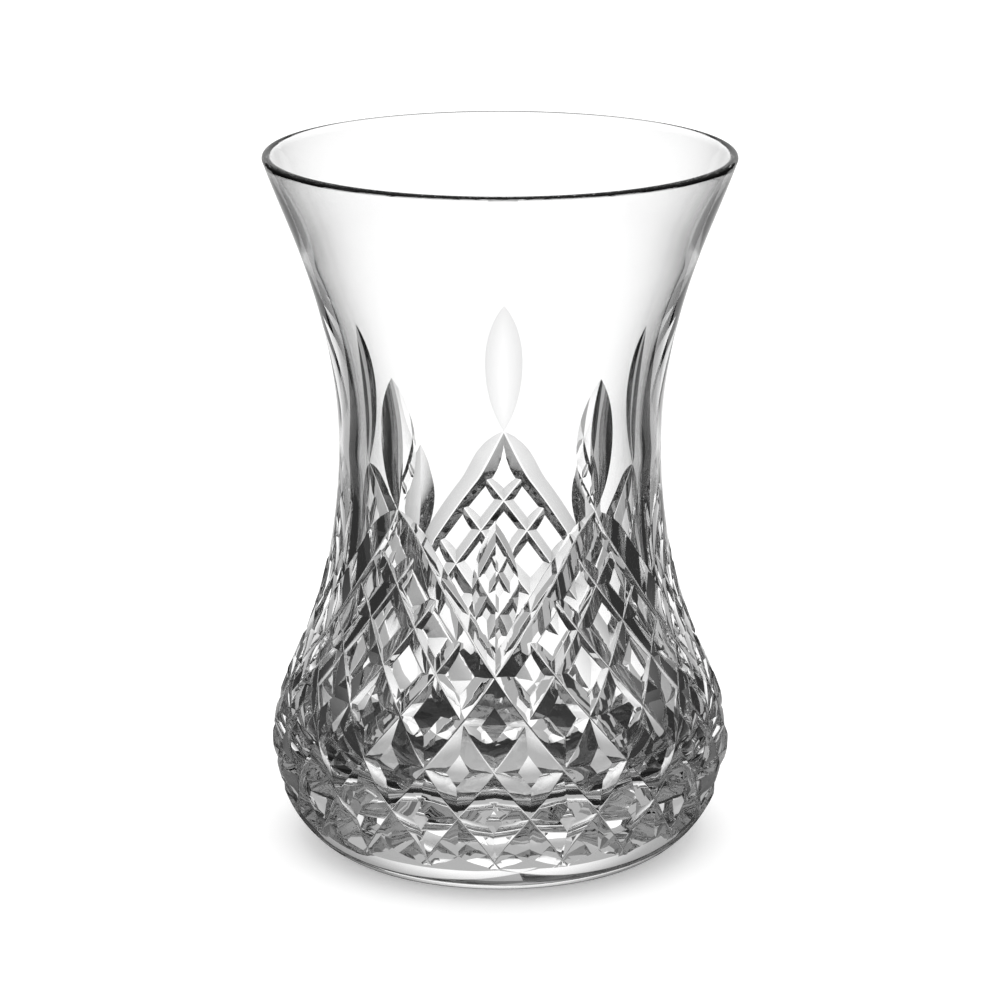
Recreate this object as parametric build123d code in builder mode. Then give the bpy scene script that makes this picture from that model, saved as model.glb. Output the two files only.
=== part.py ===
"""Waisted tea glass with a cut relief, made as one solid of clear glass.

The glass is first turned as a plain blank: a rounded lip, a slim waist, a round belly and a heavy foot.
V-edged cuts are then taken out of its outside, as a cutting wheel would take them: tall leaves round the
waist, main grooves that run down from each leaf to both sides, finer grooves that fill the space below
each leaf with diamonds, and a small leaf in each fork between two main grooves.

Frame: millimetres, +Z up, origin at the centre of the foot, on the surface that the glass stands on.
A small leaf faces -Y.
"""

from build123d import *
import os
from math import cos, degrees, radians, sin

# Outside of the blank: radius, height and slope at the places that set its line
HEIGHT = 90.4
RIM_RADIUS = 30.0
RIM_FLARE = 0.35  # growth in radius for each millimetre up, at the rim
LIP_THICKNESS = 1.1
UPPER_RADIUS = 25.5
UPPER_HEIGHT = 78.0
UPPER_FLARE = 0.36
WAIST_RADIUS = 20.75
WAIST_HEIGHT = 53.0
SHOULDER_RADIUS = 25.0
SHOULDER_HEIGHT = 28.3
SHOULDER_FLARE = -0.38
BELLY_RADIUS = 29.9
BELLY_HEIGHT = 13.3
FOOT_RADIUS = 22.8  # outer edge of the ring that it stands on
FOOT_RISE_ANGLE = 28.0  # degrees above level at which the side leaves the foot
PUNT_RADIUS = 17.5  # hollow under the foot
PUNT_DEPTH = 1.2

# Cavity
UPPER_WALL = 1.5
WAIST_WALL = 2.4
SHOULDER_WALL = 3.7
BELLY_WALL = 4.5
FLOOR_THICKNESS = 8.0  # glass between the table and the lowest point of the cavity
FLOOR_LIFT = 3.5  # of the cavity's widest place, above the belly's

# Leaves, cut by the rim of a V-edged wheel
LEAVES = 5
FRONT_ANGLE = -90.0  # direction that a small leaf faces
LEAF_BOTTOM = 48.2
LEAF_LENGTH = 17.2
LEAF_WIDTH = 5.5
LEAF_DEPTH = 1.0
SMALL_LEAF_BOTTOM = 31.0
SMALL_LEAF_LENGTH = 16.6
SMALL_LEAF_WIDTH = 5.8
SMALL_LEAF_DEPTH = 1.1

# Grooves, on a lattice whose rows of crossings are counted down from the leaves' lower tips
COLUMNS_PER_LEAF = 8
GROOVE_SLOPE = 1.41  # rise over run, measured on the surface
MAIN_DEPTH = 1.0
MAIN_WIDTH = 3.0
DIAMOND_DEPTH = 0.7
DIAMOND_WIDTH = 2.1
FOOT_CUT_DEPTH = 1.3  # every groove comes to this size at the lowest crossings
FOOT_CUT_WIDTH = 6.8
WIDENING_ROW = 4.0  # where the grooves begin to widen towards the foot
LAST_ROW = 7  # row of crossings where the diamonds end
RUN_IN = 0.9  # rows over which a groove comes to its full depth
RUN_OUT = 1.15  # rows past the last one to where a groove has left the glass
HAND_STEP = 0.04  # extra depth of the grooves of one hand, as they are cut second
CLEARANCE = 1.0  # by which a cutter stands out of the glass

SECTOR = 360 / LEAVES
COLUMN = SECTOR / COLUMNS_PER_LEAF
GROOVES_PER_LEAF = COLUMNS_PER_LEAF // 2
MARCH = 0.05  # millimetres along the side in each step that finds the rows

lip = LIP_THICKNESS / 2
lip_centre = Vector(RIM_RADIUS - lip, HEIGHT - lip)
flare = Vector(RIM_FLARE, 1).normalized()
outward = Vector(flare.Y, -flare.X)
foot_rise = radians(FOOT_RISE_ANGLE)

with BuildLine() as outside:
    Spline(
        (FOOT_RADIUS, 0),
        (BELLY_RADIUS, BELLY_HEIGHT),
        (SHOULDER_RADIUS, SHOULDER_HEIGHT),
        (WAIST_RADIUS, WAIST_HEIGHT),
        (UPPER_RADIUS, UPPER_HEIGHT),
        lip_centre + outward * lip,
        tangents=(
            (cos(foot_rise), sin(foot_rise)),
            (0, 1),
            (SHOULDER_FLARE, 1),
            (0, 1),
            (UPPER_FLARE, 1),
            (RIM_FLARE, 1),
        ),
    )
side = outside.edge()


def share_at(height):
    """Share of the side's length, counted from the foot, at which it reaches a height."""
    low, high = 0.0, 1.0
    while high - low > 1e-7:
        middle = (low + high) / 2
        if (side @ middle).Y < height:
            low = middle
        else:
            high = middle
    return low


def lattice_rows(count):
    """Share of the side's length at each row of crossings, from the leaves' lower tips down."""
    place = share_at(LEAF_BOTTOM)
    found = [place]
    turned = 0.0
    while len(found) < count:
        place -= MARCH / side.length
        turned += degrees(MARCH / ((side @ place).X * GROOVE_SLOPE))
        if turned >= COLUMN * len(found):
            found.append(place)
    return found


rows = lattice_rows(LAST_ROW + 3)


def on_side(row, angle):
    """Point, outward normal and downward direction of the blank's side at a row and an angle."""
    upper = min(int(row), len(rows) - 2)
    place = rows[upper] + (rows[upper + 1] - rows[upper]) * (row - upper)
    point, up = side @ place, side % place
    radial = Vector(cos(radians(angle)), sin(radians(angle)), 0)
    where = radial * point.X + Vector(0, 0, point.Y)
    normal = radial * up.Y - Vector(0, 0, up.X)
    down = radial * -up.X - Vector(0, 0, up.Y)
    return where, normal, down


def groove_size(row, depth, width):
    """Depth and width of a groove at a row, growing to the foot's cut at the last row."""
    grown = min(max((row - WIDENING_ROW) / (LAST_ROW - WIDENING_ROW), 0), 1)
    return depth + (FOOT_CUT_DEPTH - depth) * grown, width + (FOOT_CUT_WIDTH - width) * grown


def groove_cutter(first_row, hand, depth, width):
    """V-edged cutter that sinks in at a row of crossings and runs down to the foot."""
    last = LAST_ROW + RUN_OUT
    stops = [first_row, first_row + RUN_IN / 2, first_row + RUN_IN]
    stops += list(range(first_row + 2, LAST_ROW + 1))
    stops += [LAST_ROW + RUN_OUT / 2, last]
    with BuildPart() as cutter:
        for row in stops:
            where, normal, down = on_side(row, hand * COLUMN * (row - 2 * first_row))
            sideways = Vector(0, 0, 1).cross(normal).normalized() * hand
            along = (down * GROOVE_SLOPE + sideways).normalized()
            full_depth, full_width = groove_size(row, depth, width)
            sunk = min((row - first_row) / RUN_IN, 1, (last - row) / RUN_OUT * 2)
            bottom = (full_depth + max(hand, 0) * HAND_STEP) * sunk
            reach = (bottom + CLEARANCE) * full_width / 2 / full_depth
            with BuildSketch(Plane(where, x_dir=normal.cross(along), z_dir=along)):
                with BuildLine():
                    Polyline((0, -bottom), (reach, CLEARANCE), (-reach, CLEARANCE), close=True)
                make_face()
        loft()
    return cutter.part


def leaf_cutter(low, length, width, depth):
    """V-edged cutting wheel, set against the side so that it cuts one leaf pointed at both ends."""
    lower, upper = side @ share_at(low), side @ share_at(low + length)
    chord = upper - lower
    deepest = side @ share_at(low + length / 2)
    out = Vector(chord.Y, -chord.X).normalized()
    sagitta = depth + (lower - deepest).dot(out)
    wheel = ((chord.length / 2) ** 2 + sagitta**2) / 2 / sagitta
    spread = width / 2 / (depth - (width / 2) ** 2 / 2 / deepest.X)
    edge = depth + 2 * CLEARANCE
    centre = deepest + out * (wheel - depth)
    hub = Vector(centre.X, 0, centre.Y)
    inward = Vector(-out.X, 0, -out.Y)
    with BuildPart() as cutter:
        with BuildSketch(Plane(hub, x_dir=inward, z_dir=inward.cross(Vector(0, 1, 0)))):
            with BuildLine():
                Polyline(
                    (0, -edge * spread),
                    (wheel - edge, -edge * spread),
                    (wheel, 0),
                    (wheel - edge, edge * spread),
                    (0, edge * spread),
                    close=True,
                )
            make_face()
        revolve(axis=Axis(hub, (0, 1, 0)))
    return cutter.part


groove_cutters = []
for first_row in range(GROOVES_PER_LEAF):
    depth, width = (DIAMOND_DEPTH, DIAMOND_WIDTH) if first_row else (MAIN_DEPTH, MAIN_WIDTH)
    for hand in (-1, 1):
        groove_cutters.append(groove_cutter(first_row, hand, depth, width))
leaf = leaf_cutter(LEAF_BOTTOM, LEAF_LENGTH, LEAF_WIDTH, LEAF_DEPTH)
small_leaf = leaf_cutter(SMALL_LEAF_BOTTOM, SMALL_LEAF_LENGTH, SMALL_LEAF_WIDTH, SMALL_LEAF_DEPTH)

with BuildPart() as glass:
    with BuildSketch(Plane.XZ):
        with BuildLine():
            add(side)
            ThreePointArc(
                lip_centre + outward * lip,
                lip_centre + flare * lip,
                lip_centre - outward * lip,
            )
            Spline(
                lip_centre - outward * lip,
                (UPPER_RADIUS - UPPER_WALL, UPPER_HEIGHT),
                (WAIST_RADIUS - WAIST_WALL, WAIST_HEIGHT),
                (SHOULDER_RADIUS - SHOULDER_WALL, SHOULDER_HEIGHT),
                (BELLY_RADIUS - BELLY_WALL, BELLY_HEIGHT + FLOOR_LIFT),
                (0, FLOOR_THICKNESS),
                tangents=(
                    (-RIM_FLARE, -1),
                    (-UPPER_FLARE, -1),
                    (0, -1),
                    (-SHOULDER_FLARE, -1),
                    (0, -1),
                    (-1, 0),
                ),
            )
            Line((0, FLOOR_THICKNESS), (0, PUNT_DEPTH))
            ThreePointArc(
                (0, PUNT_DEPTH),
                (PUNT_RADIUS / 2, PUNT_DEPTH * 3 / 4),
                (PUNT_RADIUS, 0),
            )
            Line((PUNT_RADIUS, 0), (FOOT_RADIUS, 0))
        make_face()
    revolve(axis=Axis.Z)
    with PolarLocations(0, LEAVES, start_angle=FRONT_ANGLE + SECTOR / 2):
        for cutter in groove_cutters:
            add(cutter, mode=Mode.SUBTRACT)
        add(leaf, mode=Mode.SUBTRACT)
    with PolarLocations(0, LEAVES, start_angle=FRONT_ANGLE):
        add(small_leaf, mode=Mode.SUBTRACT)

glass.part.label = "glass"
os.makedirs("parts", exist_ok=True)
export_step(glass.part, "parts/glass.step")
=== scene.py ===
"""Looks of a clear cut-glass tea glass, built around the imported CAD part.

The glass is modelled as a glass-cutter works. A section is drawn and spun into a plain blank, and V-edged
cutters are then taken out of its outside: main grooves, diamond grooves, leaves and small leaves. Sizes of
the glass are in millimetres, and those of the studio in metres. The studio is a bright-field table, a usual
set for clear glass: a lit screen behind, black cloth round it and white paper under it.
"""

import logging
import math
from dataclasses import dataclass
from enum import Enum

import bmesh
import bpy
from mathutils import Matrix, Vector
from mathutils.geometry import interpolate_bezier

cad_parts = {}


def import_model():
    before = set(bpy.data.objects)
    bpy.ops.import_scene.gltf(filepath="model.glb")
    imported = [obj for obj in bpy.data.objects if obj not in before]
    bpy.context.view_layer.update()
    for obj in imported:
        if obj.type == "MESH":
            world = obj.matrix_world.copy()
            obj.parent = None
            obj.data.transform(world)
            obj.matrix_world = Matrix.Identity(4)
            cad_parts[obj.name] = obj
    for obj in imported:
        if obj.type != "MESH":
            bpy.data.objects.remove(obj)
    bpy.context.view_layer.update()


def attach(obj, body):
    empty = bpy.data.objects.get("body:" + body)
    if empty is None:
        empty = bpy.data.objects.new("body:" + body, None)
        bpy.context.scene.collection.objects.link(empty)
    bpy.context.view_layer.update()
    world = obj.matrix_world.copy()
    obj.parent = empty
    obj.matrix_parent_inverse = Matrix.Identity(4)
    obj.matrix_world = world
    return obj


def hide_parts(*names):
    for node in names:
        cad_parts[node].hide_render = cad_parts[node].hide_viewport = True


MM = 0.001
WELD = 1e-7  # metres within which points are one
LOG = logging.getLogger("tea_glass")


# ---------------------------------------------------------------- shared helpers
def srgb_channel(value: float) -> float:
    """Turns one sRGB channel into linear light.

    Args:
        value: The channel, from 0 to 1.

    Returns:
        The same channel in linear light.
    """
    return value / 12.92 if value <= 0.04045 else ((value + 0.055) / 1.055) ** 2.4


def colour(code: str) -> tuple[float, float, float, float]:
    """Turns an sRGB hex code into a linear colour with full alpha.

    Args:
        code: A code such as "#F4F4F4".

    Returns:
        Red, green, blue and alpha.
    """
    red, green, blue = (int(code[i : i + 2], 16) / 255 for i in (1, 3, 5))
    return (srgb_channel(red), srgb_channel(green), srgb_channel(blue), 1.0)


def link_new(name: str, data: bpy.types.ID) -> bpy.types.Object:
    """Puts a mesh, lamp or camera in the scene as a new object.

    Args:
        name: The new object's name.
        data: The mesh, lamp or camera that it shows.

    Returns:
        The new object.
    """
    made = bpy.data.objects.new(name, data)
    bpy.context.scene.collection.objects.link(made)
    return made


def select_only(target: bpy.types.Object) -> None:
    """Makes one object the only selected and active one.

    Args:
        target: The object to select.
    """
    bpy.ops.object.select_all(action="DESELECT")
    target.select_set(True)
    bpy.context.view_layer.objects.active = target


# ---------------------------------------------------------------- the blank's line
@dataclass(frozen=True)
class Knot:
    """A place on a turned outline: radius and height in millimetres, and the outline's direction."""

    radius: float
    height: float
    run: float
    rise: float

    @property
    def place(self) -> Vector:
        """The knot's point in the plane of the section."""
        return Vector((self.radius, self.height, 0))

    @property
    def heading(self) -> Vector:
        """The outline's direction at the knot, of length one."""
        return Vector((self.run, self.rise, 0)).normalized()


class Outline:
    """A smooth line through knots, as a drawing curve would give it.

    Args:
        knots: The places that the line goes through, in order.
    """

    STEPS = 64

    def __init__(self, knots: list[Knot]) -> None:
        """Joins the knots and measures the line."""
        self.points: list[Vector] = [knots[0].place]
        for near, far in zip(knots, knots[1:]):
            reach = (far.place - near.place).length / 3
            part = interpolate_bezier(
                near.place,
                near.place + near.heading * reach,
                far.place - far.heading * reach,
                far.place,
                self.STEPS + 1,
            )
            self.points += [p.copy() for p in part[1:]]
        self.marks = [0.0]
        for a, b in zip(self.points, self.points[1:]):
            self.marks.append(self.marks[-1] + (b - a).length)

    @property
    def length(self) -> float:
        """The line's whole length."""
        return self.marks[-1]

    def at(self, travel: float) -> tuple[Vector, Vector]:
        """Finds a place on the line.

        Args:
            travel: Distance along the line from its start.

        Returns:
            The point there and the line's direction.
        """
        low, high = 0, len(self.marks) - 1
        while high - low > 1:
            middle = (low + high) // 2
            if self.marks[middle] <= travel:
                low = middle
            else:
                high = middle
        a, b = self.points[low], self.points[high]
        share = (travel - self.marks[low]) / (self.marks[high] - self.marks[low])
        return a.lerp(b, share), (b - a).normalized()

    def travel_at(self, height: float) -> float:
        """Finds how far along the line a height is first reached.

        Args:
            height: The height to look for.

        Returns:
            The distance from the line's start.
        """
        for k, (a, b) in enumerate(zip(self.points, self.points[1:])):
            if a.y <= height <= b.y:
                share = (height - a.y) / (b.y - a.y)
                return self.marks[k] + share * (b - a).length
        raise ValueError(f"the outline never reaches {height}")

    def spaced(self, gap: float) -> list[Vector]:
        """Divides the line evenly.

        Args:
            gap: The distance wanted between points.

        Returns:
            Points along the line, both ends included.
        """
        count = max(2, round(self.length / gap))
        inner = [self.at(self.length * k / count)[0] for k in range(count)]
        return inner + [self.points[-1]]


@dataclass(frozen=True)
class BlankSize:
    """Sizes of the turned blank, in millimetres."""

    height: float = 90.4
    rim_radius: float = 30.0
    rim_flare: float = 0.35
    lip_thickness: float = 1.1
    upper: tuple[float, float] = (25.5, 78.0)
    upper_flare: float = 0.36
    waist: tuple[float, float] = (20.75, 53.0)
    shoulder: tuple[float, float] = (25.0, 28.3)
    shoulder_flare: float = -0.38
    belly: tuple[float, float] = (29.9, 13.3)
    foot_radius: float = 22.8
    foot_rise_angle: float = 28.0
    punt_radius: float = 17.5
    punt_depth: float = 1.2
    upper_wall: float = 1.5
    waist_wall: float = 2.4
    shoulder_wall: float = 3.7
    belly_wall: float = 4.5
    floor_thickness: float = 8.0
    floor_lift: float = 3.5
    turns: int = 256
    ring_gap: float = 0.62
    lip_steps: int = 14
    punt_steps: int = 24
    ring_steps: int = 6

    @property
    def lip(self) -> float:
        """Radius of the rounded lip."""
        return self.lip_thickness / 2

    @property
    def lip_centre(self) -> Vector:
        """Middle of the lip's round."""
        return Vector((self.rim_radius - self.lip, self.height - self.lip, 0))

    @property
    def lip_outward(self) -> Vector:
        """Direction from the lip's middle to where the outside meets its round."""
        flare = Vector((self.rim_flare, 1, 0)).normalized()
        return Vector((flare.y, -flare.x, 0))

    def side(self) -> Outline:
        """Draws the outside, from the foot up to the lip.

        Returns:
            The line, in the plane of the section.
        """
        angle = math.radians(self.foot_rise_angle)
        end = self.lip_centre + self.lip_outward * self.lip
        return Outline(
            [
                Knot(self.foot_radius, 0, math.cos(angle), math.sin(angle)),
                Knot(*self.belly, 0, 1),
                Knot(*self.shoulder, self.shoulder_flare, 1),
                Knot(*self.waist, 0, 1),
                Knot(*self.upper, self.upper_flare, 1),
                Knot(end.x, end.y, self.rim_flare, 1),
            ]
        )

    def cavity(self) -> Outline:
        """Draws the inside, from the lip down to the middle of the floor.

        Returns:
            The line, in the plane of the section.
        """
        start = self.lip_centre - self.lip_outward * self.lip
        return Outline(
            [
                Knot(start.x, start.y, -self.rim_flare, -1),
                Knot(self.upper[0] - self.upper_wall, self.upper[1], -self.upper_flare, -1),
                Knot(self.waist[0] - self.waist_wall, self.waist[1], 0, -1),
                Knot(self.shoulder[0] - self.shoulder_wall, self.shoulder[1], -self.shoulder_flare, -1),
                Knot(self.belly[0] - self.belly_wall, self.belly[1] + self.floor_lift, 0, -1),
                Knot(0, self.floor_thickness, -1, 0),
            ]
        )

    def section(self) -> list[Vector]:
        """Draws the whole section.

        Returns:
            Points from the middle of the punt, under the foot and over the lip, to the middle of the floor.
        """
        turn = math.atan2(self.lip_outward.y, self.lip_outward.x)
        outside = self.side().spaced(self.ring_gap)
        inside = self.cavity().spaced(self.ring_gap)
        bead = []
        for k in range(1, self.lip_steps):
            angle = turn + math.pi * k / self.lip_steps
            bead.append(self.lip_centre + Vector((math.cos(angle), math.sin(angle), 0)) * self.lip)
        ball = (self.punt_radius**2 + self.punt_depth**2) / 2 / self.punt_depth
        punt = []
        for k in range(self.punt_steps):
            radius = self.punt_radius * k / self.punt_steps
            depth = math.sqrt(ball**2 - radius**2) - (ball - self.punt_depth)
            punt.append(Vector((radius, depth, 0)))
        ring_width = self.foot_radius - self.punt_radius
        ring = []
        for k in range(self.ring_steps):
            ring.append(Vector((self.punt_radius + ring_width * k / self.ring_steps, 0, 0)))
        return punt + ring + outside + bead + inside


# ---------------------------------------------------------------- the cuts
@dataclass(frozen=True)
class GrooveSize:
    """Full depth and width of a groove, and how far its bottom and edges are rounded."""

    depth: float
    width: float
    tip: float
    edge: float

    def toward(self, other: "GrooveSize", share: float, deeper: float) -> "GrooveSize":
        """Mixes two sizes.

        Args:
            other: The size that is reached at a share of one.
            share: How much of the other size is taken.
            deeper: Depth added to the mix.

        Returns:
            The mixed size.
        """
        return GrooveSize(
            self.depth + (other.depth - self.depth) * share + deeper,
            self.width + (other.width - self.width) * share,
            self.tip + (other.tip - self.tip) * share,
            self.edge + (other.edge - self.edge) * share,
        )


@dataclass(frozen=True)
class CutPlan:
    """Where the cuts lie and how large they are, in millimetres."""

    leaves: int = 5
    front_angle: float = -90.0
    leaf_bottom: float = 48.2
    leaf_length: float = 17.2
    leaf_width: float = 5.5
    leaf_depth: float = 1.0
    small_leaf_bottom: float = 31.0
    small_leaf_length: float = 16.6
    small_leaf_width: float = 5.8
    small_leaf_depth: float = 1.1
    columns_per_leaf: int = 8
    slope: float = 1.41
    main: GrooveSize = GrooveSize(depth=1.05, width=3.9, tip=0.35, edge=0.9)
    diamond: GrooveSize = GrooveSize(depth=0.75, width=2.3, tip=0.25, edge=0.6)
    foot_cut: GrooveSize = GrooveSize(depth=1.3, width=6.8, tip=0.3, edge=0.4)
    widening_row: float = 4.0
    last_row: int = 7
    run_in: float = 0.9
    run_out: float = 1.15
    hand_step: float = 0.04
    clearance: float = 1.0
    stops_per_row: int = 4

    @property
    def sector(self) -> float:
        """Angle from one leaf to the next."""
        return 360 / self.leaves

    @property
    def column(self) -> float:
        """Angle from one column of crossings to the next."""
        return self.sector / self.columns_per_leaf


class Hand(Enum):
    """Which way a groove turns as it runs down."""

    LEFT = -1
    RIGHT = 1


class Lattice:
    """Finds places on the blank's side by row and angle.

    A row is a height at which grooves cross, counted down from the leaves' lower tips.

    Args:
        side: The outside of the blank.
        plan: Where the cuts lie.
    """

    MARCH = 0.02
    SPARE_ROWS = 3

    def __init__(self, side: Outline, plan: CutPlan) -> None:
        """Marches down the side and marks where each row lies."""
        self.side = side
        self.plan = plan
        travel = side.travel_at(plan.leaf_bottom)
        self.rows = [travel]
        turned = 0.0
        while len(self.rows) < plan.last_row + self.SPARE_ROWS:
            travel -= self.MARCH
            radius = side.at(travel)[0].x
            turned += math.degrees(self.MARCH / (radius * plan.slope))
            if turned >= plan.column * len(self.rows):
                self.rows.append(travel)

    def at(self, row: float, angle: float) -> tuple[Vector, Vector, Vector]:
        """Finds a place on the side.

        Args:
            row: The row, which may lie between two whole ones.
            angle: The angle round the glass, in degrees.

        Returns:
            The point, the outward normal and the direction down the side.
        """
        upper = min(int(row), len(self.rows) - 2)
        travel = self.rows[upper] + (self.rows[upper + 1] - self.rows[upper]) * (row - upper)
        point, up = self.side.at(travel)
        turn = math.radians(angle)
        radial = Vector((math.cos(turn), math.sin(turn), 0))
        where = radial * point.x + Vector((0, 0, point.y))
        normal = radial * up.y - Vector((0, 0, up.x))
        down = radial * -up.x - Vector((0, 0, up.y))
        return where, normal, down


@dataclass(frozen=True)
class GrooveSection:
    """Section of a groove's cutter, across the groove and out of the surface.

    The bottom is an arc, and the flanks flare out near the surface, so that the cut's edges come out
    rounded as fire polishing leaves them.
    """

    size: GrooveSize
    sunk: float
    clearance: float
    tip_steps: int = 4
    edge_steps: int = 3
    edge_share: float = 0.75
    wing: float = 0.8

    def right_half(self) -> list[tuple[float, float]]:
        """Draws the half from the bottom's middle, up the right flank, to the top corner.

        Returns:
            Distances across the groove and out of the surface.
        """
        lean = math.atan2(self.size.width / 2, self.size.depth)
        rise = math.pi / 2 - lean
        centre = -self.size.depth + self.size.tip
        right = []
        for k in range(self.tip_steps + 1):
            angle = rise * k / self.tip_steps
            right.append((self.size.tip * math.sin(angle), centre - self.size.tip * math.cos(angle)))
        foot_x, foot_y = right[-1]
        tangent = self.size.edge * math.tan(rise / 2)
        top_x = foot_x - foot_y * math.tan(lean)
        hub_x = top_x - tangent * math.sin(lean) + self.size.edge * math.cos(lean)
        hub_y = -tangent * math.cos(lean) - self.size.edge * math.sin(lean)
        for k in range(self.edge_steps + 1):
            arc = math.pi - lean - rise * self.edge_share * k / self.edge_steps
            right.append((hub_x + self.size.edge * math.cos(arc), hub_y + self.size.edge * math.sin(arc)))
        rest = rise * (1 - self.edge_share)
        end_x, end_y = right[-1]
        right.append((end_x + self.wing * math.cos(rest), end_y + self.wing * math.sin(rest)))
        right.append((right[-1][0], max(right[-1][1], 0) + self.clearance))
        return right

    def points(self) -> list[tuple[float, float]]:
        """Draws the whole section.

        Returns:
            Distances across the groove and out of the surface, raised where the groove isn't yet full.
        """
        right = self.right_half()
        left = [(-x, y) for x, y in reversed(right[1:])]
        shift = self.size.depth * (1 - self.sunk)
        return [(x, y + shift) for x, y in left + right]


class Cutters:
    """Builds the tools that are taken out of the blank.

    Args:
        lattice: Finds places on the side.
        plan: Where the cuts lie and how large they are.
    """

    WHEEL_STEPS = 180

    def __init__(self, lattice: Lattice, plan: CutPlan) -> None:
        """Keeps the lattice and the plan."""
        self.lattice = lattice
        self.plan = plan

    def groove(self, first_row: int, hand: Hand, size: GrooveSize) -> bmesh.types.BMesh:
        """Lofts one groove's cutter along its path, from a crossing down to the foot.

        Args:
            first_row: The row at which the groove begins.
            hand: The way that it turns.
            size: Its size before it widens towards the foot.

        Returns:
            A closed mesh, in metres.
        """
        plan = self.plan
        last = plan.last_row + plan.run_out
        count = round((last - first_row) * plan.stops_per_row)
        bm = bmesh.new()
        rings = []
        for k in range(count + 1):
            row = first_row + (last - first_row) * k / count
            where, normal, down = self.lattice.at(row, hand.value * plan.column * (row - 2 * first_row))
            sideways = Vector((0, 0, 1)).cross(normal).normalized() * hand.value
            along = (down * plan.slope + sideways).normalized()
            across = normal.cross(along)
            grown = min(max((row - plan.widening_row) / (plan.last_row - plan.widening_row), 0), 1)
            deeper = plan.hand_step if hand is Hand.RIGHT else 0.0
            mixed = size.toward(plan.foot_cut, grown, deeper)
            ease = min((row - first_row) / plan.run_in, 1)
            sunk = min(1 - (1 - ease) ** 2, (last - row) / plan.run_out * 2, 1)
            ring = []
            for x, y in GrooveSection(mixed, sunk, plan.clearance).points():
                ring.append(bm.verts.new((where + across * x + normal * y) * MM))
            rings.append(ring)
        for near, far in zip(rings, rings[1:]):
            for k in range(len(near)):
                j = (k + 1) % len(near)
                bm.faces.new((near[k], near[j], far[j], far[k]))
        bm.faces.new(rings[0])
        bm.faces.new(list(reversed(rings[-1])))
        bmesh.ops.recalc_face_normals(bm, faces=bm.faces)
        return bm

    def leaf(self, low: float, length: float, width: float, depth: float) -> bmesh.types.BMesh:
        """Spins the rim of a V-edged wheel, placed to cut one leaf.

        Args:
            low: Height of the leaf's lower tip.
            length: Height from its lower tip to its upper one.
            width: Its width in the middle.
            depth: Its depth in the middle.

        Returns:
            A closed mesh, in metres.
        """
        side = self.lattice.side
        lower = side.at(side.travel_at(low))[0]
        upper = side.at(side.travel_at(low + length))[0]
        deepest = side.at(side.travel_at(low + length / 2))[0]
        chord = upper - lower
        out = Vector((chord.y, -chord.x, 0)).normalized()
        sagitta = depth + (lower - deepest).dot(out)
        wheel = ((chord.length / 2) ** 2 + sagitta**2) / 2 / sagitta
        spread = width / 2 / (depth - (width / 2) ** 2 / 2 / deepest.x)
        edge = depth + 2 * self.plan.clearance
        centre = deepest + out * (wheel - depth)
        hub = Vector((centre.x, 0, centre.y))
        inward = Vector((-out.x, 0, -out.y))
        axle = Vector((0, 1, 0))
        bm = bmesh.new()
        line = [(0, -edge * spread), (wheel - edge, -edge * spread), (wheel, 0)]
        line += [(wheel - edge, edge * spread), (0, edge * spread)]
        verts = [bm.verts.new((hub + inward * r + axle * y) * MM) for r, y in line]
        edges = [bm.edges.new(pair) for pair in zip(verts, verts[1:])]
        bmesh.ops.spin(
            bm,
            geom=verts + edges,
            cent=hub * MM,
            axis=axle,
            dvec=(0, 0, 0),
            angle=math.tau,
            steps=self.WHEEL_STEPS,
            use_merge=True,
        )
        bmesh.ops.remove_doubles(bm, verts=bm.verts, dist=WELD)
        bmesh.ops.recalc_face_normals(bm, faces=bm.faces)
        return bm

    def ringed(self, name: str, bm: bmesh.types.BMesh, start_angle: float) -> bpy.types.Object:
        """Repeats a cutter round the glass, once for each leaf.

        Args:
            name: The new object's name.
            bm: The cutter at an angle of zero, which this frees.
            start_angle: The first copy's angle, in degrees.

        Returns:
            One object that holds all the copies.
        """
        mesh = bpy.data.meshes.new(name)
        whole = bmesh.new()
        bm.to_mesh(mesh)
        for k in range(self.plan.leaves):
            turn = Matrix.Rotation(math.radians(start_angle + self.plan.sector * k), 4, "Z")
            copy = mesh.copy()
            copy.transform(turn)
            whole.from_mesh(copy)
            bpy.data.meshes.remove(copy)
        whole.to_mesh(mesh)
        whole.free()
        bm.free()
        return link_new(name, mesh)

    def all(self) -> list[bpy.types.Object]:
        """Makes every set of cutters.

        Returns:
            The sets, in the order in which the cuts are made.
        """
        plan = self.plan
        leaf_start = plan.front_angle + plan.sector / 2
        made = []
        for first_row in range(plan.columns_per_leaf // 2):
            size = plan.diamond if first_row else plan.main
            for hand in Hand:
                name = f"cutter_{first_row}_{hand.name.lower()}"
                made.append(self.ringed(name, self.groove(first_row, hand, size), leaf_start))
        leaf = self.leaf(plan.leaf_bottom, plan.leaf_length, plan.leaf_width, plan.leaf_depth)
        made.append(self.ringed("cutter_leaf", leaf, leaf_start))
        small = self.leaf(
            plan.small_leaf_bottom, plan.small_leaf_length, plan.small_leaf_width, plan.small_leaf_depth
        )
        made.append(self.ringed("cutter_small_leaf", small, plan.front_angle))
        return made


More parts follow.
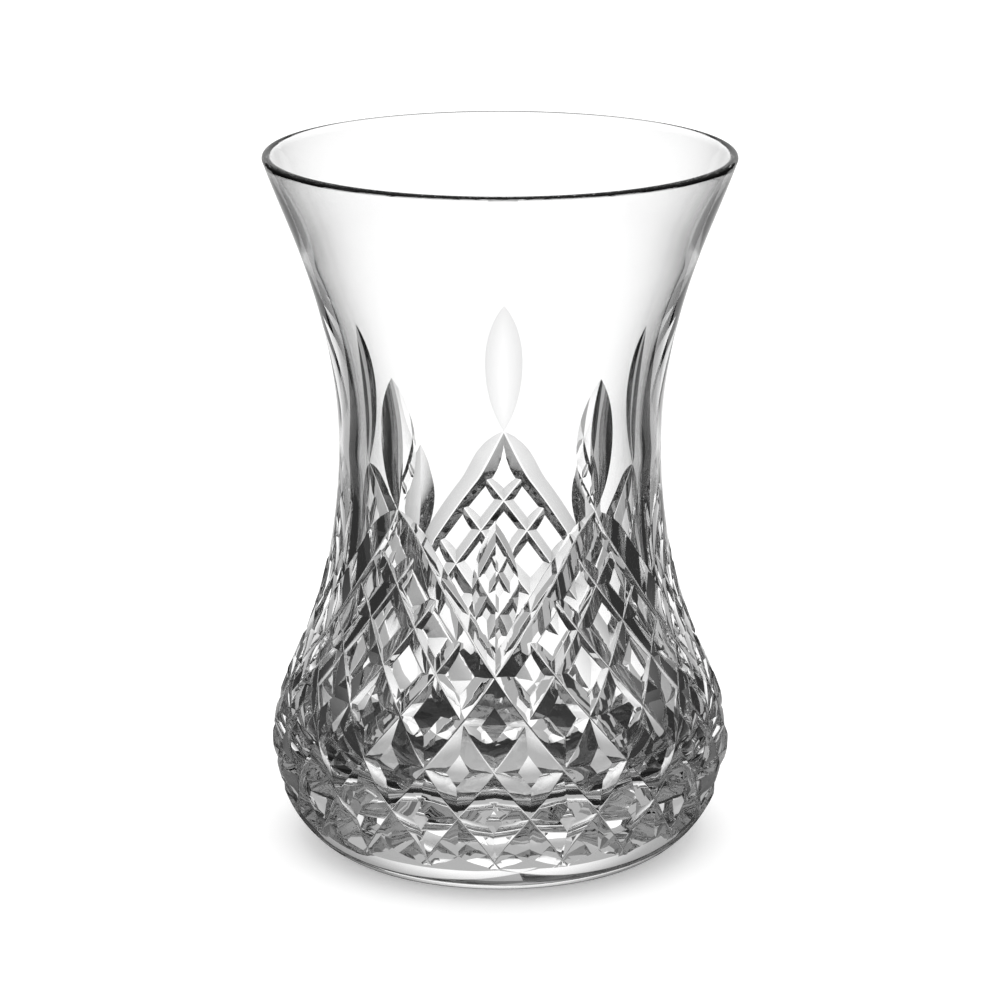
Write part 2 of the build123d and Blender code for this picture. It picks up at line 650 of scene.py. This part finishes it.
class CutGlass:
    """The glass itself: a turned blank with the cuts taken out of it.

    Args:
        size: Sizes of the blank.
        plan: Where the cuts lie and how large they are.
    """

    SHARP_ANGLE = 12.0

    def __init__(self, size: BlankSize, plan: CutPlan) -> None:
        """Keeps the sizes and the plan."""
        self.size = size
        self.plan = plan

    def blank(self) -> bpy.types.Object:
        """Spins the section round the axis.

        Returns:
            The plain glass, before it is cut.
        """
        bm = bmesh.new()
        verts = [bm.verts.new(Vector((p.x, 0, p.y)) * MM) for p in self.size.section()]
        edges = [bm.edges.new(pair) for pair in zip(verts, verts[1:])]
        bmesh.ops.spin(
            bm,
            geom=verts + edges,
            cent=(0, 0, 0),
            axis=(0, 0, 1),
            dvec=(0, 0, 0),
            angle=math.tau,
            steps=self.size.turns,
            use_merge=True,
        )
        bmesh.ops.remove_doubles(bm, verts=bm.verts, dist=WELD)
        bmesh.ops.recalc_face_normals(bm, faces=bm.faces)
        mesh = bpy.data.meshes.new("cut_glass")
        bm.to_mesh(mesh)
        bm.free()
        return link_new("cut_glass", mesh)

    def build(self) -> bpy.types.Object:
        """Makes the blank and takes each set of cutters out of it.

        Returns:
            The finished glass, with its facets' edges left crisp and its curves smooth.
        """
        glass = self.blank()
        cutters = Cutters(Lattice(self.size.side(), self.plan), self.plan).all()
        for cutter in cutters:
            select_only(glass)
            cut = glass.modifiers.new(cutter.name, "BOOLEAN")
            cut.operation = "DIFFERENCE"
            cut.solver = "MANIFOLD"
            cut.object = cutter
            bpy.ops.object.modifier_apply(modifier=cut.name)
            bpy.data.objects.remove(cutter)
        select_only(glass)
        bpy.ops.object.shade_smooth_by_angle(angle=math.radians(self.SHARP_ANGLE))
        return glass


# ---------------------------------------------------------------- finishes
def add_node(tree: bpy.types.NodeTree, kind: str, **settings: object) -> bpy.types.Node:
    """Adds a shader node and sets its own properties.

    Args:
        tree: The node tree that gets the node.
        kind: The node's type name.
        settings: Properties of the node, by name.

    Returns:
        The new node.
    """
    node = tree.nodes.new(kind)
    for name, value in settings.items():
        setattr(node, name, value)
    return node


@dataclass(frozen=True)
class ClearGlass:
    """Pressed and fire-polished soda-lime glass."""

    name: str = "clear_glass"
    tint: str = "#FFFFFF"
    index: float = 1.52
    ripple_size: float = 9.0
    ripple_height: float = 0.012

    def build(self) -> bpy.types.Material:
        """Makes the material.

        Returns:
            A colourless, fully clear material with the slight waviness that a mould leaves.
        """
        made = bpy.data.materials.new(self.name)
        made.use_nodes = True
        tree = made.node_tree
        shader = tree.nodes["Principled BSDF"]
        shader.inputs["Base Color"].default_value = colour(self.tint)
        shader.inputs["Roughness"].default_value = 0.0
        shader.inputs["IOR"].default_value = self.index
        shader.inputs["Transmission Weight"].default_value = 1.0
        # Slow ripples from the mould: reflections in the plain upper wall wander a little.
        place = add_node(tree, "ShaderNodeTexCoord")
        ripple = add_node(tree, "ShaderNodeTexNoise")
        ripple.inputs["Scale"].default_value = 1 / (self.ripple_size * MM)
        ripple.inputs["Detail"].default_value = 1.0
        bump = add_node(tree, "ShaderNodeBump")
        bump.inputs["Strength"].default_value = 1.0
        bump.inputs["Distance"].default_value = self.ripple_height * MM
        tree.links.new(place.outputs["Object"], ripple.inputs["Vector"])
        tree.links.new(ripple.outputs["Fac"], bump.inputs["Height"])
        tree.links.new(bump.outputs["Normal"], shader.inputs["Normal"])
        return made


@dataclass(frozen=True)
class PaperFloor:
    """White sweep paper that the glass stands on, lit until it is white but for the glass's shadow."""

    name: str = "sweep_paper"
    tint: str = "#F4F4F4"
    glow: float = 0.3
    roughness: float = 0.9

    def build(self) -> bpy.types.Material:
        """Makes the material.

        Returns:
            A matt white that glows a little, so that the shadow on it stays pale.
        """
        made = bpy.data.materials.new(self.name)
        made.use_nodes = True
        shader = made.node_tree.nodes["Principled BSDF"]
        shader.inputs["Base Color"].default_value = colour(self.tint)
        shader.inputs["Roughness"].default_value = self.roughness
        shader.inputs["Specular IOR Level"].default_value = 0.0
        shader.inputs["Emission Color"].default_value = (1, 1, 1, 1)
        shader.inputs["Emission Strength"].default_value = self.glow
        return made


@dataclass(frozen=True)
class LitScreen:
    """A diffusing screen lit from behind, bright in the middle and falling off towards its edges; at a
    near-black level it also makes the painted shade under the foot.
    """

    name: str
    centre: float
    rim: float
    inner: float
    outer: float
    tallness: float = 1.4

    def build(self) -> bpy.types.Material:
        """Makes the material.

        Returns:
            An emission that falls smoothly from the middle to the rim; equal values give a flat one.
        """
        made = bpy.data.materials.new(self.name)
        made.use_nodes = True
        tree = made.node_tree
        tree.nodes.clear()
        output = add_node(tree, "ShaderNodeOutputMaterial")
        light = add_node(tree, "ShaderNodeEmission")
        tree.links.new(light.outputs["Emission"], output.inputs["Surface"])
        if self.centre == self.rim:
            light.inputs["Strength"].default_value = self.centre
            return made
        place = add_node(tree, "ShaderNodeTexCoord")
        squash = add_node(tree, "ShaderNodeMapping")
        squash.inputs["Scale"].default_value = (1, 1 / self.tallness, 1)
        far = add_node(tree, "ShaderNodeVectorMath", operation="LENGTH")
        fall = add_node(tree, "ShaderNodeMapRange", interpolation_type="SMOOTHSTEP")
        fall.inputs["From Min"].default_value = self.inner
        fall.inputs["From Max"].default_value = self.outer
        fall.inputs["To Min"].default_value = self.centre
        fall.inputs["To Max"].default_value = self.rim
        tree.links.new(place.outputs["Object"], squash.inputs["Vector"])
        tree.links.new(squash.outputs["Vector"], far.inputs[0])
        tree.links.new(far.outputs["Value"], fall.inputs["Value"])
        tree.links.new(fall.outputs["Result"], light.inputs["Strength"])
        return made


@dataclass(frozen=True)
class DarkCloth:
    """Black cloth hung round a set, drawn as a faint emission, with painted light that makes it paler
    towards the top, as a ceiling light would.
    """

    name: str = "black_cloth"
    side_level: float = 0.03
    painted_top_glow: float = 0.3
    top_height: float = 3.6

    def build(self) -> bpy.types.Material:
        """Makes the material.

        Returns:
            An emission that is nearly black at the sides and dark grey overhead.
        """
        made = bpy.data.materials.new(self.name)
        made.use_nodes = True
        tree = made.node_tree
        tree.nodes.clear()
        output = add_node(tree, "ShaderNodeOutputMaterial")
        light = add_node(tree, "ShaderNodeEmission")
        place = add_node(tree, "ShaderNodeTexCoord")
        split = add_node(tree, "ShaderNodeSeparateXYZ")
        # Painted light: the glow rises with height from the side level to the top level.
        rise = add_node(tree, "ShaderNodeMapRange")
        rise.inputs["From Max"].default_value = self.top_height
        rise.inputs["To Min"].default_value = self.side_level
        rise.inputs["To Max"].default_value = self.painted_top_glow
        tree.links.new(place.outputs["Object"], split.inputs["Vector"])
        tree.links.new(split.outputs["Z"], rise.inputs["Value"])
        tree.links.new(rise.outputs["Result"], light.inputs["Strength"])
        tree.links.new(light.outputs["Emission"], output.inputs["Surface"])
        return made


# ---------------------------------------------------------------- studio
@dataclass(frozen=True)
class CameraPlan:
    """Where the camera stands, in metres and degrees."""

    distance: float = 0.473
    height: float = 0.178
    pitch: float = 15.73
    turn: float = 1.5
    lens: float = 136.98
    sensor: float = 36.0

    def build(self) -> bpy.types.Object:
        """Makes the camera and makes it the scene's own.

        Returns:
            The camera object.
        """
        data = bpy.data.cameras.new("camera")
        data.lens = self.lens
        data.sensor_width = self.sensor
        camera = link_new("camera", data)
        turn = math.radians(self.turn)
        camera.location = (self.distance * math.sin(turn), -self.distance * math.cos(turn), self.height)
        camera.rotation_euler = (math.pi / 2 - math.radians(self.pitch), 0, turn)
        bpy.context.scene.camera = camera
        return camera


@dataclass(frozen=True)
class CardPlan:
    """One card of the lighting rig, in metres: its middle across, up and behind the glass, and its size."""

    name: str
    across: float
    up: float
    behind: float
    width: float
    height: float
    finish: LitScreen


class Studio:
    """A bright-field table for glass: a lit screen behind, darkness round it, and a white floor.

    The cards ride on the camera, as on a turntable set, so each side of the glass is lit alike.

    Args:
        camera: The camera that holds the cards.
    """

    GLASS_DISTANCE = 0.505
    FLOOR_HALF = 3.0
    LAMP_POWER = 3.0
    LAMP_SIZE = 0.9
    LAMP_HEIGHT = 1.0
    LAMP_BACK = 0.1
    TENT_RADIUS = 4.5
    TENT_SEGMENTS = 48
    TENT_RINGS = 24
    RING_INNER = 0.019
    RING_OUTER = 0.036
    RING_DROP = 0.0002
    RING_SEGMENTS = 96
    RING_LEVEL = 0.01
    BOUNCES = 32

    def __init__(self, camera: bpy.types.Object) -> None:
        """Plans the cards that the camera holds."""
        self.camera = camera
        screen = LitScreen("lit_screen", centre=1.3, rim=0.5, inner=0.035, outer=0.17)
        left = LitScreen("left_light", centre=0.45, rim=0.45, inner=0, outer=1)
        self.cards = [
            CardPlan("screen", across=0, up=-0.02, behind=0.35, width=0.46, height=0.74, finish=screen),
            CardPlan("left_card", across=-0.7, up=0, behind=-0.2, width=0.5, height=1.0, finish=left),
        ]

    def hide_from_eye(self, piece: bpy.types.Object) -> None:
        """Lets a piece be seen only in the glass: refracted and mirrored.

        Args:
            piece: The card, ring or cloth to hide.
        """
        piece.visible_camera = False
        piece.visible_diffuse = False
        piece.visible_shadow = False

    def card(self, plan: CardPlan) -> bpy.types.Object:
        """Makes one card, held by the camera.

        Args:
            plan: Its place, size and finish.

        Returns:
            The card.
        """
        bpy.ops.mesh.primitive_plane_add(size=1)
        card = bpy.context.object
        card.name = plan.name
        card.scale = (plan.width, plan.height, 1)
        bpy.ops.object.transform_apply(location=False, rotation=False, scale=True)
        card.parent = self.camera
        card.location = (plan.across, plan.up, -self.GLASS_DISTANCE - plan.behind)
        card.data.materials.append(plan.finish.build())
        self.hide_from_eye(card)
        return card

    def floor(self) -> bpy.types.Object:
        """Makes the floor, which the eye and diffuse light see, and the glass doesn't.

        Returns:
            The floor.
        """
        bpy.ops.mesh.primitive_plane_add(size=2 * self.FLOOR_HALF)
        floor = bpy.context.object
        floor.name = "floor"
        floor.data.materials.append(PaperFloor().build())
        floor.visible_transmission = False
        floor.visible_glossy = False
        return floor

    def contact_ring(self) -> bpy.types.Object:
        """Makes the dark ring of painted shade that the foot sees under itself: a near-black emission that
        only the glass sees.

        Returns:
            The ring.
        """
        bm = bmesh.new()
        bmesh.ops.create_circle(bm, cap_ends=False, radius=self.RING_INNER, segments=self.RING_SEGMENTS)
        grown = bmesh.ops.extrude_edge_only(bm, edges=list(bm.edges))["geom"]
        for vert in grown:
            if isinstance(vert, bmesh.types.BMVert):
                vert.co *= self.RING_OUTER / self.RING_INNER
        mesh = bpy.data.meshes.new("contact_ring")
        bm.to_mesh(mesh)
        bm.free()
        ring = link_new("contact_ring", mesh)
        ring.location.z = -self.RING_DROP
        # Painted shade: a flat, near-black emission that stands in for the shade under the foot.
        shade = LitScreen("contact_shade", centre=self.RING_LEVEL, rim=self.RING_LEVEL, inner=0, outer=1)
        ring.data.materials.append(shade.build())
        self.hide_from_eye(ring)
        return ring

    def lamp(self) -> bpy.types.Object:
        """Makes the overhead softbox that lights the floor.

        Returns:
            The lamp.
        """
        data = bpy.data.lights.new("softbox", "AREA")
        data.energy = self.LAMP_POWER
        data.size = self.LAMP_SIZE
        lamp = link_new("softbox", data)
        lamp.location = (0, self.LAMP_BACK, self.LAMP_HEIGHT)
        lamp.visible_glossy = False
        lamp.visible_transmission = False
        return lamp

    def tent(self) -> bpy.types.Object:
        """Makes the dark cloth round the set, which only the glass sees, with painted light that makes it
        paler towards its top.

        Returns:
            The cloth, as one ball.
        """
        bpy.ops.mesh.primitive_uv_sphere_add(
            segments=self.TENT_SEGMENTS, ring_count=self.TENT_RINGS, radius=self.TENT_RADIUS
        )
        tent = bpy.context.object
        tent.name = "dark_tent"
        tent.data.materials.append(DarkCloth().build())
        self.hide_from_eye(tent)
        return tent

    def world(self) -> bpy.types.World:
        """Makes the white room, at a strength of one for every ray that the cloth and cards let by.

        Returns:
            The world.
        """
        world = bpy.data.worlds.new("studio")
        world.use_nodes = True
        room = world.node_tree.nodes["Background"]
        room.inputs["Color"].default_value = (1, 1, 1, 1)
        room.inputs["Strength"].default_value = 1.0
        bpy.context.scene.world = world
        return world

    def build(self) -> None:
        """Sets up the floor, the cards, the lamp, the room and how light is followed."""
        self.floor()
        self.contact_ring()
        self.tent()
        for plan in self.cards:
            self.card(plan)
        self.lamp()
        self.world()
        scene = bpy.context.scene
        scene.view_settings.view_transform = "Standard"
        scene.cycles.max_bounces = self.BOUNCES
        scene.cycles.transmission_bounces = self.BOUNCES
        scene.cycles.glossy_bounces = self.BOUNCES // 2


def main() -> None:
    """Builds the glass, dresses it, and sets up the studio round it."""
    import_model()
    glass = CutGlass(BlankSize(), CutPlan()).build()
    glass.data.materials.clear()
    glass.data.materials.append(ClearGlass().build())
    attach(glass, "root")
    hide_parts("glass")
    glass.data.calc_loop_triangles()
    LOG.info("%s: %d triangles", glass.name, len(glass.data.loop_triangles))
    Studio(CameraPlan().build()).build()
    bpy.context.view_layer.update()
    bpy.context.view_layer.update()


if __name__ == "__main__":
    logging.basicConfig(level=logging.INFO)
    main()
